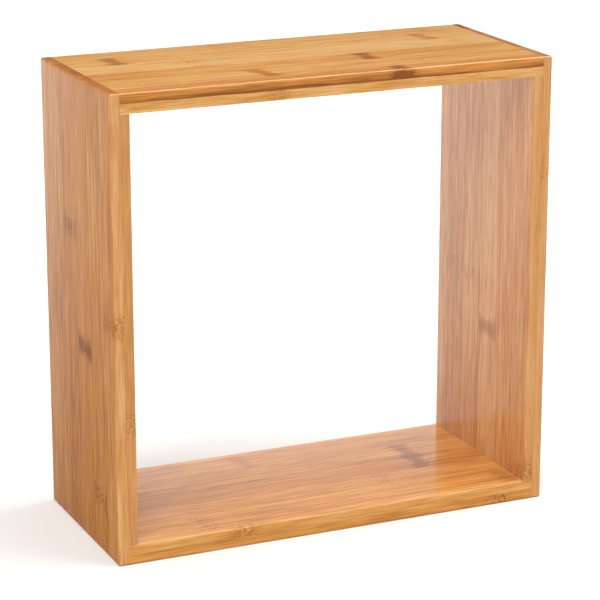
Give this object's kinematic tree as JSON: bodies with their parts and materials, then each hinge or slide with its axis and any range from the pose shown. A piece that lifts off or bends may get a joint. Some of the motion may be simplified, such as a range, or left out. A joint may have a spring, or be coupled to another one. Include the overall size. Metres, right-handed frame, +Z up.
{
  "type": "open cube shelf",
  "caption": "Open square bamboo frame of four laminated boards with stepped glued corners, used as a bottle rack, cube shelf or stacking module.",
  "frame": {"origin": "middle of the underside of the bottom board", "axes": "+Z up, +Y from the front edge to the rear edge, +X to the right as seen from the front"},
  "size_m": [0.28, 0.12, 0.28],
  "materials": {
    "bamboo_honey": "satin clear lacquer over sanded bamboo, top and bottom boards",
    "bamboo_tan": "satin clear lacquer over sanded bamboo, side boards",
    "bamboo_amber": "satin clear lacquer over the dark skin side of a lath"
  },
  "bodies": {
    "root": {"left_outer_lath_1": "bamboo_tan", "left_outer_lath_2": "bamboo_tan", "left_outer_lath_3": "bamboo_tan", "left_outer_lath_4": "bamboo_tan", "left_outer_lath_5": "bamboo_tan", "left_outer_lath_6": "bamboo_tan", "left_inner_lath_1": "bamboo_tan", "left_inner_lath_2": "bamboo_tan", "left_inner_lath_3": "bamboo_tan", "left_inner_lath_4": "bamboo_tan", "left_inner_lath_5": "bamboo_tan", "left_inner_lath_6": "bamboo_tan", "right_outer_lath_1": "bamboo_tan", "right_outer_lath_2": "bamboo_tan", "right_outer_lath_3": "bamboo_tan", "right_outer_lath_4": "bamboo_tan", "right_outer_lath_5": "bamboo_tan", "right_outer_lath_6": "bamboo_tan", "right_inner_lath_1": "bamboo_tan", "right_inner_lath_2": "bamboo_tan", "right_inner_lath_3": "bamboo_tan", "right_inner_lath_4": "bamboo_tan", "right_inner_lath_5": "bamboo_tan", "right_inner_lath_6": "bamboo_tan", "top_outer_lath_1": "bamboo_honey", "top_outer_lath_2": "bamboo_honey", "top_outer_lath_3": "bamboo_honey", "top_outer_lath_4": "bamboo_honey", "top_outer_lath_5": "bamboo_honey", "top_outer_lath_6": "bamboo_amber", "top_inner_lath_1": "bamboo_honey", "top_inner_lath_2": "bamboo_honey", "top_inner_lath_3": "bamboo_honey", "top_inner_lath_4": "bamboo_honey", "top_inner_lath_5": "bamboo_honey", "top_inner_lath_6": "bamboo_honey", "bottom_outer_lath_1": "bamboo_honey", "bottom_outer_lath_2": "bamboo_honey", "bottom_outer_lath_3": "bamboo_honey", "bottom_outer_lath_4": "bamboo_honey", "bottom_outer_lath_5": "bamboo_honey", "bottom_outer_lath_6": "bamboo_honey", "bottom_inner_lath_1": "bamboo_honey", "bottom_inner_lath_2": "bamboo_honey", "bottom_inner_lath_3": "bamboo_honey", "bottom_inner_lath_4": "bamboo_honey", "bottom_inner_lath_5": "bamboo_honey", "bottom_inner_lath_6": "bamboo_honey", "bottom_inner_lath_7": "bamboo_honey"}
  },
  "joints": []
}
